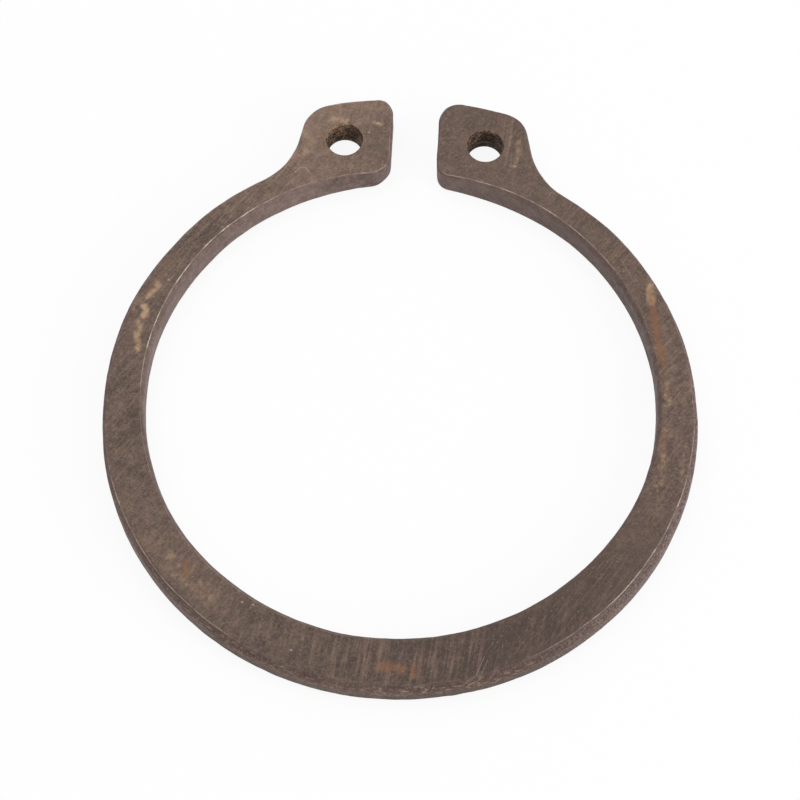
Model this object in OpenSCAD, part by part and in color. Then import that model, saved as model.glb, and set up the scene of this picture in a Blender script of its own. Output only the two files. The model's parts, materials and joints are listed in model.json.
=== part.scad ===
// Retaining ring for a shaft, heavy duty pattern: one flat piece of spring steel.
// The ring lies flat. The origin is the centre of the inner circle, halfway through the steel,
// and the gap between the two lugs is on the +Y side.

/* [Ring] */
// Free inner diameter, measured before the ring is fitted
inner_d = 47.8; // [44:0.1:60]
// Width of the beam opposite the gap, where it is widest
beam_back_w = 5.0; // [4:0.1:6]
// Width that the beam would taper down to at the middle of the gap
beam_gap_w = 2.45; // [1.8:0.05:3.5]
// Thickness of the steel
thickness = 3.0; // [2:0.1:4]
// Rounding of the upper edges, tumbled after stamping
top_edge_r = 0.5; // [0.3:0.1:0.6]
// Rounding of the lower edges
bottom_edge_r = 0.4; // [0.3:0.1:0.5]

/* [Lugs] */
// Open gap between the two lugs
gap_w = 4.5; // [3:0.1:8]
// Height of the lugs, from the inner circle out to their ends
lug_h = 8.4; // [7.5:0.1:9.5]
// Width of a lug at its plier hole, from the gap face to the flank
lug_w = 8.9; // [8:0.1:10]
// Lean of the flank away from the ring's centre line, in degrees
flank_angle = 12; // [4:1:20]
// Radius between the flank and the end of a lug
shoulder_r = 3.0; // [1.5:0.1:3.6]
// Radius of the hollow where a lug runs into the beam
neck_r = 7.4; // [4:0.1:9]
// Corner of the left lug between its end and the gap
left_tip_r = 1.6; // [0.8:0.1:2.4]
// Corner of the right lug between its end and the gap
right_tip_r = 2.1; // [0.8:0.1:2.4]
// Corner of the left lug between the inner circle and the gap
left_toe_r = 2.1; // [0.8:0.1:2.4]
// Corner of the right lug between the inner circle and the gap
right_toe_r = 1.3; // [0.8:0.1:2.4]
// Rounding of the edges of the lugs, crisper than the beam's
lug_edge_r = 0.2; // [0.15:0.05:0.2]

/* [Plier holes] */
// Diameter of the plier holes
hole_d = 3.4; // [2.5:0.1:4]
// Distance of a hole's centre from the gap face
hole_from_gap = 4.6; // [4:0.1:5.2]
// Distance of a hole's centre out from the inner circle
hole_rise = 4.2; // [3.6:0.1:4.8]
// Rounding of the rims of the holes
hole_edge_r = 0.15; // [0.05:0.05:0.3]

/* [Hidden] */
$fn = 144;
steel = [0.40, 0.35, 0.31];
// Room by which a cutter reaches past the surface that it cuts
over = 0.5;
// Degrees by which the rounding of a curve runs on past the curve's end, into a larger rounding
curve_overrun = 2;
// Distance by which the rounding of a line runs on past the line's end, clear of the steel
line_overrun = 1;
// Distance by which a rounding stands out from the arc that would touch both faces
stand_out = 0.002;
// Rounding of the far ends of the lugs, which takes in the ends of their corners' roundings
lug_end_edge_r = lug_edge_r + 0.05;

function unit(v) = v / norm(v);
function heading(v) = atan2(v.y, v.x);

inner_r = inner_d / 2;
// The outer circle sits off centre, away from the gap, so that the beam tapers
outer_r = inner_r + (beam_back_w + beam_gap_w) / 2;
outer_c = [0, -(beam_back_w - beam_gap_w) / 2];
lug_end_r = inner_r + lug_h;
gap_x = gap_w / 2;

// Centre of the right hole; the left one mirrors it
hole_x = gap_x + hole_from_gap;
hole_y = sqrt(pow(inner_r + hole_rise, 2) - pow(hole_x, 2));

// Direction square to the right flank, direction up along it, and its distance from the origin
flank_out = [cos(flank_angle), sin(flank_angle)];
flank_up = [-sin(flank_angle), cos(flank_angle)];
flank_at = [gap_x + lug_w, hole_y] * flank_out;

// Centres of the arcs that close the right lug, each found from the two curves that it touches
function toe_c(r) = [gap_x + r, sqrt(pow(inner_r + r, 2) - pow(gap_x + r, 2))];
function tip_c(r) = [gap_x + r, sqrt(pow(lug_end_r - r, 2) - pow(gap_x + r, 2))];
shoulder_u = flank_at - shoulder_r;
shoulder_c = shoulder_u * flank_out
    + sqrt(pow(lug_end_r - shoulder_r, 2) - pow(shoulder_u, 2)) * flank_up;
neck_u = flank_at + neck_r - outer_c * flank_out;
neck_c = outer_c + neck_u * flank_out
    + sqrt(pow(outer_r + neck_r, 2) - pow(neck_u, 2)) * flank_up;

// Points where the outline changes from one curve to the next
flank_top = shoulder_c + shoulder_r * flank_out;
flank_foot = neck_c - neck_r * flank_out;
beam_start = outer_c + outer_r * unit(neck_c - outer_c);

// What a rounding takes off a square edge; the edge is at the origin, the steel at x < 0, y < 0
module edge_waste(edge_r) {
    centre = stand_out - edge_r;
    translate([centre, centre]) difference() {
        square(edge_r + over);
        circle(r = edge_r);
    }
}

// Round plate of the ring's thickness with rounded rims
module plate(r, upper_r, lower_r) {
    rotate_extrude() difference() {
        square([r, thickness]);
        translate([r, thickness]) edge_waste(upper_r);
        translate([r, 0]) mirror([0, 1]) edge_waste(lower_r);
    }
}

// Round opening through the plate that widens at both faces
module opening(r, upper_r, lower_r) {
    rotate_extrude() {
        translate([0, -over]) square([r, thickness + 2 * over]);
        translate([r, thickness]) mirror([1, 0]) edge_waste(upper_r);
        translate([r, 0]) rotate(180) edge_waste(lower_r);
    }
}

// Cutters that round an edge of the upper face: along a corner, along a hollow, and along a line
module corner_edge(c, r, from, to, edge_r) {
    translate(c) rotate(from) rotate_extrude(angle = to - from) translate([r, 0]) edge_waste(edge_r);
}

module hollow_edge(c, r, from, to, edge_r) {
    translate(c) rotate(from) rotate_extrude(angle = to - from)
        translate([r, 0]) mirror([1, 0]) edge_waste(edge_r);
}

module line_edge(p, q, edge_r) {
    translate(p) rotate([90, 0, heading(q - p) + 90]) linear_extrude(norm(q - p)) edge_waste(edge_r);
}

// Flat shape of one half of the block that both lugs are cut from
module half_lugs() {
    difference() {
        polygon([
            outer_c,
            [0, lug_end_r + over],
            unit(shoulder_c) * (lug_end_r + over),
            shoulder_c,
            flank_top,
            flank_foot,
            neck_c,
            beam_start
        ]);
        translate(neck_c) circle(r = neck_r);
    }
    translate(shoulder_c) circle(r = shoulder_r);
}

// Flat shape of the right half of the gap, with the corners that it leaves on the lug
module half_gap(tip_r, toe_r) {
    tip = tip_c(tip_r);
    toe = toe_c(toe_r);
    difference() {
        polygon([
            [0, 0],
            toe,
            [gap_x, toe.y],
            [gap_x, tip.y],
            tip,
            unit(tip) * (lug_end_r + over),
            [0, lug_end_r + over]
        ]);
        translate(tip) circle(r = tip_r);
        translate(toe) circle(r = toe_r);
    }
}

// Beam and lugs before the openings are cut, held inside the circle of the lug ends
module blank() {
    intersection() {
        union() {
            translate(outer_c) plate(outer_r, top_edge_r, bottom_edge_r);
            linear_extrude(thickness) {
                half_lugs();
                mirror([1, 0]) half_lugs();
            }
        }
        plate(lug_end_r, lug_end_edge_r, lug_end_edge_r);
    }
}

module gap() {
    translate([0, 0, -over]) linear_extrude(thickness + 2 * over) {
        half_gap(right_tip_r, right_toe_r);
        mirror([1, 0]) half_gap(left_tip_r, left_toe_r);
    }
}

// Roundings along the curves of the lugs, for one face. A neck's is midway between the beam's and the
// lugs'. Necks run on past their ends to where the beam's rounding has already taken more, and
// shoulders and tips to where that of the lugs' far ends has
module curved_edges(beam_edge_r) {
    for (side = [0, 1]) mirror([side, 0, 0]) {
        corner_edge(shoulder_c, shoulder_r, flank_angle, heading(shoulder_c) + curve_overrun, lug_edge_r);
        hollow_edge(neck_c, neck_r, flank_angle - 180 - curve_overrun,
            heading(outer_c - neck_c) + curve_overrun, (beam_edge_r + lug_edge_r) / 2);
    }
    gap_corner_edges(right_tip_r, right_toe_r);
    mirror([1, 0, 0]) gap_corner_edges(left_tip_r, left_toe_r);
}

module gap_corner_edges(tip_r, toe_r) {
    tip = tip_c(tip_r);
    toe = toe_c(toe_r);
    corner_edge(tip, tip_r, heading(tip) - curve_overrun, 180, lug_edge_r);
    corner_edge(toe, toe_r, -180, heading(-toe), lug_edge_r);
}

// Roundings along the flanks and the gap faces, for one face. They run on past the corners, clear of
// the steel there
module straight_edges() {
    for (side = [0, 1]) mirror([side, 0, 0])
        line_edge(flank_top + line_overrun * flank_up, flank_foot, lug_edge_r);
    gap_face_edge(right_tip_r, right_toe_r);
    mirror([1, 0, 0]) gap_face_edge(left_tip_r, left_toe_r);
}

module gap_face_edge(tip_r, toe_r) {
    line_edge([gap_x, toe_c(toe_r).y - line_overrun], [gap_x, tip_c(tip_r).y + line_overrun], lug_edge_r);
}

// The straight roundings come off after the curved ones, in a second cut
module retaining_ring() {
    color(steel) translate([0, 0, -thickness / 2]) difference() {
        difference() {
            blank();
            opening(inner_r, top_edge_r, bottom_edge_r);
            gap();
            for (x = [-hole_x, hole_x])
                translate([x, hole_y]) opening(hole_d / 2, hole_edge_r, hole_edge_r);
            translate([0, 0, thickness]) curved_edges(top_edge_r);
            mirror([0, 0, 1]) curved_edges(bottom_edge_r);
        }
        translate([0, 0, thickness]) straight_edges();
        mirror([0, 0, 1]) straight_edges();
    }
}

retaining_ring();
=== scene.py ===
# %% [markdown]
# A retaining ring, worn brown
# This lesson rebuilds a circlip for a shaft: a flat open ring of spring steel with two lugs, each with
# a hole for the pliers. The real one is stamped, tumbled, ground flat and then browned. It has been used
# and stored since, so its edges are rubbed bright in places and rust has started in others. The bright
# line along the edges is partly that bare metal and partly a painted highlight.
# The measured solid comes in first. It says how large everything is and where it lies.

# %% Load the measured solid
import json
import bpy
import numpy as np
from mathutils import Matrix, Vector

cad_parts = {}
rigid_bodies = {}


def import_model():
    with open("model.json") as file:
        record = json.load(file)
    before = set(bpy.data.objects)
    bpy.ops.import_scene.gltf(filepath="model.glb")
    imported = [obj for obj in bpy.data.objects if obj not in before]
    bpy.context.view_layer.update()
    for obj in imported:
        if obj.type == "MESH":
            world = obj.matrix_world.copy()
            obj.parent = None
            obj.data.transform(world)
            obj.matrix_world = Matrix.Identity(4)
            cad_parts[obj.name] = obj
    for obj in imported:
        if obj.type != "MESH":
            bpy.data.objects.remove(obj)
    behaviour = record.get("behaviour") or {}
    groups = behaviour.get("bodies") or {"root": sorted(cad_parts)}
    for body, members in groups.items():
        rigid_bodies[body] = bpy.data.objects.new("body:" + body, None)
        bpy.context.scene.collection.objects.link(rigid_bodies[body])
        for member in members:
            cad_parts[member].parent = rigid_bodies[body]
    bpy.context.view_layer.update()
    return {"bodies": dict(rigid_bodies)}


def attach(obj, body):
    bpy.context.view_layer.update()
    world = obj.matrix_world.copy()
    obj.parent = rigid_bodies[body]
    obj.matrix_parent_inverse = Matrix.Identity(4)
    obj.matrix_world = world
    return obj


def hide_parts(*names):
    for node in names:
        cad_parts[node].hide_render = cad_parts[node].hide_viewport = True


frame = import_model()
NODE = "retaining_ring"
BODY = next(iter(frame["bodies"]))
print("solid:", NODE, "on body", BODY)

# %% [markdown]
# The outline
# Seen from above the ring is a chain of arcs and straight lines that touch each other smoothly.
# The beam is the space between two circles whose centres are a little apart, so it is widest opposite
# the gap. A curve object could be bent over the photograph by hand, but arcs from a few sizes are true
# arcs. The sizes below give all of it, in millimetres. The same sizes gave the measured solid.

# %% Sizes in millimetres
MM = 0.001
THICK = 3.0
INNER_R = 23.9
OUTER_R = 27.625
OUTER_C = np.array([0.0, -1.275])
LUG_END_R = 32.3
GAP_X = 2.25
HOLE_R = 1.7
HOLE_C = np.array([6.85, 27.252])
FLANK_DEG = 12.0
LUG_W = 8.9
FLANK_X = GAP_X + LUG_W
SHOULDER_R = 3.0
NECK_R = 7.4
RIGHT_TIP_R, LEFT_TIP_R = 2.1, 1.6
RIGHT_TOE_R, LEFT_TOE_R = 1.3, 2.1
print("ring:", 2 * INNER_R, "mm inside and", THICK, "mm thick")


# %% Arcs and lines as arrays of points
def heading(v):
    """The angle in degrees of a flat vector, counted from +X towards +Y."""
    return np.degrees(np.arctan2(v[1], v[0]))


def arc(centre, r, start, end, out, step):
    """Points centre + r (cos a, sin a) with a going evenly from start to end degrees, and the unit
    vectors that point out of the steel: away from the centre where out is 1, towards it where -1."""
    n = max(2, int(np.ceil(abs(np.radians(end - start)) * r / step)))
    a = np.radians(np.linspace(start, end, n + 1))
    ray = np.stack([np.cos(a), np.sin(a)], axis=1)
    return centre + r * ray, out * ray


def line(p, q, out, step):
    """Points spaced evenly from p to q, all with the same outward vector."""
    n = max(2, int(np.ceil(np.linalg.norm(q - p) / step)))
    w = np.linspace(0, 1, n + 1)[:, None]
    return p + w * (q - p), np.repeat(np.asarray(out, float)[None], n + 1, axis=0)


print("a right angle of 1 mm radius takes", len(arc(np.zeros(2), 1.0, 0, 90, 1, 0.2)[0]), "points")

# %% [markdown]
# One lug
# A lug is where the pliers hold the ring. Its outline starts on the inner circle, turns the toe at the
# gap, climbs the gap face, turns the tip, runs along the end, and comes down the flank through a hollow
# neck into the beam. Each corner arc touches both of its neighbours, and that fixes its centre. Points
# set by hand would leave small kinks where a corner meets its line, and those show in the highlights.

# %% The outline of a lug
STEP = 0.19  # Longest distance between two points of an outline
CUT_INNER_DEG = 57.0  # Where the cut between lug and beam meets the inner circle
NECK_SHARE = 0.5  # How much of the neck belongs to the lug


def lug_outline(tip_r, toe_r):
    """The right lug's outline from the inner circle round to the outer circle: a corner arc of radius r
    beside the gap and against a circle R round the origin has its centre at x = gap + r, at distance
    R + r or R - r from the origin; shoulder and neck are found the same way beside the flank. The
    outline stops part of the way along the neck, and the rest of the neck comes back as well."""
    flank_out = np.array([np.cos(np.radians(FLANK_DEG)), np.sin(np.radians(FLANK_DEG))])
    flank_up = np.array([-flank_out[1], flank_out[0]])
    flank_at = np.array([FLANK_X, HOLE_C[1]]) @ flank_out
    toe = np.array([GAP_X + toe_r, np.sqrt((INNER_R + toe_r) ** 2 - (GAP_X + toe_r) ** 2)])
    tip = np.array([GAP_X + tip_r, np.sqrt((LUG_END_R - tip_r) ** 2 - (GAP_X + tip_r) ** 2)])
    su = flank_at - SHOULDER_R
    shoulder = su * flank_out + np.sqrt((LUG_END_R - SHOULDER_R) ** 2 - su ** 2) * flank_up
    nu = flank_at + NECK_R - OUTER_C @ flank_out
    neck = OUTER_C + nu * flank_out + np.sqrt((OUTER_R + NECK_R) ** 2 - nu ** 2) * flank_up
    zero = np.zeros(2)
    neck_end = heading(OUTER_C - neck)
    neck_cut = FLANK_DEG - 180 + NECK_SHARE * (neck_end - FLANK_DEG + 180)
    runs = [
        arc(zero, INNER_R, CUT_INNER_DEG, heading(toe), -1, STEP),
        arc(toe, toe_r, heading(-toe) + 360, 180, 1, STEP),
        line(np.array([GAP_X, toe[1]]), np.array([GAP_X, tip[1]]), (-1, 0), STEP),
        arc(tip, tip_r, 180, heading(tip), 1, STEP),
        arc(zero, LUG_END_R, heading(tip), heading(shoulder), 1, STEP),
        arc(shoulder, SHOULDER_R, heading(shoulder), FLANK_DEG, 1, STEP),
        line(shoulder + SHOULDER_R * flank_out, neck - NECK_R * flank_out, flank_out, STEP),
        arc(neck, NECK_R, FLANK_DEG - 180, neck_cut, -1, STEP),
    ]
    return chain(runs), arc(neck, NECK_R, neck_cut, neck_end, -1, STEP)


def chain(runs):
    """Runs of points and outward vectors put end to end; each starts where the one before it ends."""
    points = np.concatenate([runs[0][0]] + [p[1:] for p, _ in runs[1:]])
    outward = np.concatenate([runs[0][1]] + [n[1:] for _, n in runs[1:]])
    return points, outward


def mirrored(outline):
    """An outline of the right side carried over to the left, running the other way."""
    return [(a * (-1, 1))[::-1] for a in outline]


right_lug, right_neck = lug_outline(RIGHT_TIP_R, RIGHT_TOE_R)
left_lug = mirrored(lug_outline(LEFT_TIP_R, LEFT_TOE_R)[0])
left_neck = mirrored(right_neck)
print("lug outlines:", len(right_lug[0]), "and", len(left_lug[0]), "points")

# %% [markdown]
# The edges
# Tumbling rounds the edges of the stamping, and grinding the two faces afterwards cuts that rounding off
# at a crisp line, the arris. A bevel modifier would give every edge the same round, so here the section
# of the edge is worked out as a profile and carried along the outline. That lets the rounding grow and
# shrink along the way, as it does on the real ring.

# %% The section of an edge, carried along the outline
ROUND_R, ROUND_DEPTH = 2.5, 2.0
ARC_DEG = np.degrees(np.arcsin(ROUND_DEPTH / ROUND_R))
ROWS_ROUND, ROWS_WALL = 7, 9


def wall_band(points, outward, lean_up, lean_low, stray_up=0.0, stray_low=0.0):
    """Rows of points from the upper arris down the wall to the lower arris. With lean w the rounding is
    an arc of radius 2.5 w that touches the wall 2 w below the face and meets the face w further in:
    in = w (2.5 - 2.5 cos a), down = w (2 - 2.5 sin a), with a from 53.13 degrees at the arris to 0.
    The strays move the wall outwards, evenly changing from the upper one to the lower one."""
    a = np.radians(np.linspace(ARC_DEG, 0, ROWS_ROUND))[:, None]
    into = ROUND_R - ROUND_R * np.cos(a)
    down = ROUND_DEPTH - ROUND_R * np.sin(a)
    mix = np.linspace(0, 1, ROWS_WALL)[1:-1, None]
    wall = (1 - mix) * ROUND_DEPTH * lean_up + mix * (THICK - ROUND_DEPTH * lean_low)
    inset = np.concatenate([into * lean_up, np.zeros_like(wall), (into * lean_low)[::-1]])
    depth = np.concatenate([down * lean_up, wall, THICK - (down * lean_low)[::-1]])
    stray = stray_up + (stray_low - stray_up) * depth / THICK
    flat = points[None] + (stray - inset)[..., None] * outward[None]
    return np.concatenate([flat, THICK / 2 - depth[..., None]], axis=2)


def smooth_step(x, low, high):
    """0 below low, 1 above high, and 3 t t - 2 t t t in between."""
    t = np.clip((x - low) / (high - low), 0, 1)
    return t * t * (3 - 2 * t)


HASH_PRIMES = (73856093, 19349663, 83492791)
SEED_PRIME, MIX_PRIME = 2654435, 1274126177


def ring_noise(p, size, seed):
    """Value noise: a random number at every corner of a cubic lattice with cells of the given size,
    blended inside a cell with weights 3 t t - 2 t t t. The number comes from the corner's place and the
    seed, each times a large prime, with the bits stirred. Returns 0 to 1."""
    q = p / size
    cell = np.floor(q).astype(np.int64)
    t = q - cell
    t = t * t * (3 - 2 * t)
    total = np.zeros(p.shape[:-1])
    for corner in np.ndindex(2, 2, 2):
        at = cell + np.array(corner)
        h = np.bitwise_xor.reduce(at * HASH_PRIMES, axis=-1) ^ (seed * SEED_PRIME)
        h = ((h & 0xFFFFFF) ^ ((h >> 11) & 0x1FFF)) * MIX_PRIME & 0xFFFFFFFF
        h = (h ^ (h >> 15)) & 0xFFFF
        weight = np.prod(np.where(np.array(corner) == 1, t, 1 - t), axis=-1)
        total += weight * h / 0xFFFF
    return total


print("an edge that leans in by 1 mm is rounded at", ROUND_R, "mm and ends", ROUND_DEPTH, "mm down")

# %% [markdown]
# How far the edges lean in, and how far the walls stray
# On the photographed ring the upper arris lies between a quarter and half a millimetre in from the wall,
# and the lugs are crisper than the beam. Stamping and opening have also left the walls a tenth or two of a
# millimetre off the true circles, and the lower rim on the right flares. Pairs of a heading in degrees,
# counted from +X, and a value in millimetres say how much; between them the value runs on evenly. The
# heading runs from -270 to 90, so that its jump lies in the gap. Sculpting could do the same, but nobody
# could read off afterwards how much was moved.

# %% Lean and stray along the outline
OUTER_LEAN = [
    (-205, 0.33), (-160, 0.36), (-140, 0.42), (-122, 0.5), (-95, 0.5), (-60, 0.54), (-25, 0.5),
    (10, 0.35), (40, 0.3),
]
INNER_LEAN = [
    (-205, 0.42), (-180, 0.38), (-150, 0.35), (-90, 0.35), (-30, 0.35), (0, 0.34), (30, 0.32), (60, 0.3),
]
OUTER_LOW = [
    (-265, 0.17), (-235, 0.17), (-215, 0.38), (-76, 0.4), (-64, 0.25), (-48, 0.22), (-38, 0.15),
    (-20, 0.15), (0, 0.3), (40, 0.3), (50, 0.17),
]
INNER_LOW = [
    (-264, 0.4), (-224, 0.38), (-218, 0.25), (-200, 0.2), (-180, 0.3), (0, 0.35), (14, 0.28), (22, 0.2),
    (72, 0.18), (82, 0.2),
]
OUTER_STRAY_UP = [
    (-265.6, -0.06), (-264.3, 0.06), (-262.5, 0.0), (-258.4, 0.045), (-256.4, 0.07), (-251, 0.055),
    (-249.5, 0.12), (-247, 0.09), (-244, 0.11), (-236, 0.25), (-230, 0.23), (-224, 0.21), (-218, 0.14),
    (-212, 0.04), (-194, 0.0), (-188, -0.06), (-182, -0.13), (-176, -0.15), (-168, -0.1), (-160, 0.0),
    (-60, 0.0), (-4, 0.02), (2, -0.08), (8, -0.06), (14, -0.02), (26, -0.04), (32, -0.02), (38, 0.05),
    (44, 0.09), (50, 0.08), (65, 0.11), (69, 0.11), (71.6, 0.13), (73.4, 0.05), (76, 0.01), (81.4, -0.01),
    (83.4, 0.05), (84.9, 0.09), (85.3, 0.03),
]
OUTER_STRAY_LOW = [
    (-265.6, -0.02), (-262, 0.0), (-249, 0.1), (-236, 0.25), (-224, 0.21), (-212, 0.04), (-194, 0.0),
    (-182, -0.16), (-175, -0.19), (-168, -0.18), (-160, -0.02), (-136, 0.0), (-128, 0.03), (-104, 0.055),
    (-88, 0.025), (-80, 0.0), (-72, 0.05), (-64, 0.01), (-48, 0.0), (-32, 0.06), (-24, 0.07), (-16, 0.15),
    (-8, 0.2), (2, 0.08), (14, 0.0), (32, 0.0), (44, 0.09), (71.6, 0.12), (76, 0.01), (85.3, 0.03),
]
INNER_STRAY_UP = [
    (-215, 0.0), (-200, 0.1), (-180, 0.17), (-160, 0.15), (-150, 0.02), (-140, -0.035), (-130, 0.03),
    (-100, 0.0), (-90, 0.068), (-60, 0.065), (-50, 0.11), (-40, 0.095), (-30, 0.04), (-20, -0.04),
    (-10, -0.03), (0, 0.0),
]
INNER_STRAY_LOW = [
    (-264.1, -0.1), (-262.1, -0.05), (-259.5, -0.03), (-254, 0.0), (-248, 0.03), (-242, 0.05),
    (-234, 0.01), (-212, 0.04), (-194, 0.06), (-180, 0.17), (-160, 0.15), (-150, 0.02), (-100, 0.0),
    (-90, 0.07), (-50, 0.11), (-20, -0.04), (0, 0.0), (26, 0.0), (38, -0.03), (50, -0.06), (56, -0.005),
    (62, 0.06), (68, 0.05), (74, 0.03), (77, 0.0), (80, -0.04), (83, -0.1),
]
LUG_LEAN = 0.17
HOLE_LEAN = 0.10
WAVER, WAVER_SIZE = 0.2, 2.2
INNER_SIDE, OUTER_SIDE = INNER_R + 0.3, INNER_R + 2.3
OUTER_SHARE_ENDS, INNER_SHARE_ENDS = (22, 33), (9, 26)


def headings(points):
    """The heading of each point in degrees, from -270 to 90."""
    turn = np.degrees(np.arctan2(points[:, 1], points[:, 0]))
    return np.where(turn > 90, turn - 360, turn)


def by_heading(degrees, pairs):
    """The value at each heading; between two pairs it runs on evenly."""
    return np.interp(degrees, *np.array(pairs).T)


def outer_share(points):
    """0 for points of the inner side, 1 for those of the outer side, and between them along the gap."""
    return smooth_step(np.hypot(points[:, 0], points[:, 1]), INNER_SIDE, OUTER_SIDE)


def along(points, outer_pairs, inner_pairs):
    """The value at each outline point, by its heading from the pairs of its own side. Along the gap the
    value of the inner side turns gradually into that of the outer side."""
    share = outer_share(points)
    outer, inner = (by_heading(headings(points), pairs) for pairs in (outer_pairs, inner_pairs))
    return share * outer + (1 - share) * inner


def lean_along(points, lug_share):
    """Upper lean, lower lean, upper stray and lower stray at each outline point. The upper lean falls to
    the lug's value where lug_share is 1, and both leans waver slowly by a tenth."""
    where = np.concatenate([points, np.zeros((len(points), 1))], axis=1)
    waver = 1 + WAVER * (ring_noise(where, WAVER_SIZE, seed=5) - 0.5)
    up = (along(points, OUTER_LEAN, INNER_LEAN) * (1 - lug_share) + LUG_LEAN * lug_share) * waver
    low = along(points, OUTER_LOW, INNER_LOW) * waver
    stray_up = along(points, OUTER_STRAY_UP, INNER_STRAY_UP)
    return up, low, stray_up, along(points, OUTER_STRAY_LOW, INNER_STRAY_LOW)


def lug_share_of(points):
    """1 on the lug and 0 on the beam, by the angle away from the gap; the change is earlier inside."""
    away = np.degrees(np.arctan2(np.abs(points[:, 0]), points[:, 1]))
    outer = outer_share(points)
    outside, inside = (1 - smooth_step(away, *ends) for ends in (OUTER_SHARE_ENDS, INNER_SHARE_ENDS))
    return outer * outside + (1 - outer) * inside


print("the upper outer edge strays by up to", max(value for _, value in OUTER_STRAY_UP), "mm")

# %% [markdown]
# Laying a grid over the ring
# The beam is one closed section carried round: upper face, outer wall, lower face, inner wall.
# Each lug is a grid of rings that grows from its hole out to its outline. Both use the same points on
# the cut across the beam, so that they join into one watertight skin when equal points are merged. A
# filled outline that is extruded would be quicker, but its faces are large many-sided polygons, and the
# uneven surface below needs points all over.

# %% Grids for the beam and the lugs
ACROSS = np.concatenate([[0], np.linspace(0.02, 0.98, 15), [1]])  # Shares of the way across the beam
RINGS = np.concatenate([[0], np.linspace(0.025, 0.975, 17), [1]])  # Shares of the way out from a hole
ANGLE_SHARE = 0.6  # How far a loop's points keep to their angle about the hole
patches = []


def add_patch(grid, finish, outside):
    """Keeps a grid of points as quads of one finish; outside is a vector, or one for each point, that
    points out of the steel, and it decides which way round the quads are listed."""
    across = np.cross(grid[1:, :-1] - grid[:-1, :-1], grid[:-1, 1:] - grid[:-1, :-1])
    facing = np.sum(across * np.broadcast_to(outside, grid.shape)[:-1, :-1])
    patches.append((grid, finish, facing < 0))


def ramp(start, end, share):
    """Points on the straight lines from start to end, one row for each share of the way."""
    return start[None] + share[:, None, None] * (end - start)[None]


FACE, WALL, HOLE = 0, 1, 2
UP = np.array([0.0, 0.0, 1.0])


def flat3(v):
    """A flat vector with a height of nought."""
    return np.concatenate([v, np.zeros(v.shape[:-1] + (1,))], axis=-1)


def build_lug(outline, side):
    """Rings between the hole's rim and a loop made of the lug's arris and the cut across the beam. The
    loop's points and the rim's points are paired by the angle about the hole's centre, evened out a
    little towards equal steps along the loop."""
    points, outward = outline
    band = wall_band(points, outward, *lean_along(points, lug_share_of(points)))
    add_patch(band, WALL, flat3(outward))
    centre = HOLE_C * (side, 1)
    loops = []
    for rim in (band[0], band[-1]):
        cut = rim[-1] + ACROSS[1:-1, None] * (rim[0] - rim[-1])
        loops.append(np.concatenate([rim, cut, rim[:1]]))
    angle = np.unwrap(np.arctan2(*(loops[0][:, :2] - centre).T[::-1]))
    length = np.concatenate([[0], np.cumsum(np.linalg.norm(np.diff(loops[0], axis=0), axis=1))])
    even = angle[0] + (angle[-1] - angle[0]) * length / length[-1]
    pair = ANGLE_SHARE * angle + (1 - ANGLE_SHARE) * even
    ray = np.stack([np.cos(pair), np.sin(pair)], axis=1)
    hole_lean = np.full(len(ray), HOLE_LEAN)
    hole = wall_band(centre + HOLE_R * ray, -ray, hole_lean, hole_lean)
    add_patch(hole, HOLE, flat3(-ray))
    for start, loop, facing in ((hole[0], loops[0], UP), (hole[-1], loops[1], -UP)):
        add_patch(ramp(start, loop, RINGS), FACE, facing)
    return band


right_band = build_lug(right_lug, 1)
left_band = build_lug(left_lug, -1)
print("grids of the two lugs:", len(patches))

# %% [markdown]
# The beam
# Round the back the two cuts are joined by sections, each from a point of the outer outline to one of the
# inner circle. Turning one section about one centre would make a beam of even width, and this one tapers.

# %% The beam's closed section, carried from cut to cut
def build_beam():
    """Bands for the outer and the inner wall, and flat faces ruled between their arrises. The outer
    outline is the rest of one neck, the outer circle and the rest of the other neck; each of its points
    is paired with a point of the inner circle at nearly the same heading."""
    start = heading(right_neck[0][-1] - OUTER_C)
    outer = chain([right_neck, arc(OUTER_C, OUTER_R, start, -180 - start, 1, STEP), left_neck])
    turn = np.unwrap(np.arctan2(outer[0][:, 1], outer[0][:, 0]))
    cut = np.radians(CUT_INNER_DEG)
    a = np.interp(-turn, -turn[[0, -1]], (-cut, np.pi + cut))
    ray = np.stack([np.cos(-a), np.sin(-a)], axis=1)
    inner = INNER_R * ray, -ray
    bands = []
    for points, outward in (outer, inner):
        bands.append(wall_band(points, outward, *lean_along(points, lug_share_of(points))))
        add_patch(bands[-1], WALL, flat3(outward))
    for row, facing in ((0, UP), (-1, -UP)):
        add_patch(ramp(bands[0][row], bands[1][row], ACROSS), FACE, facing)
    return bands


outer_band, inner_band = build_beam()
wall_row, middle = len(outer_band) // 3, outer_band.shape[1] // 2
widest = np.linalg.norm(outer_band[wall_row, middle] - inner_band[wall_row, middle])
print("beam sections:", outer_band.shape[1], "widest", round(float(widest), 2), "mm")

# %% [markdown]
# One closed skin
# The ring is one piece of steel, so its skin may have no seam. Merge by Distance would close it, but it
# could also merge points that are only close. The grids share their border points exactly, so points are
# merged only where they are equal.

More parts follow.
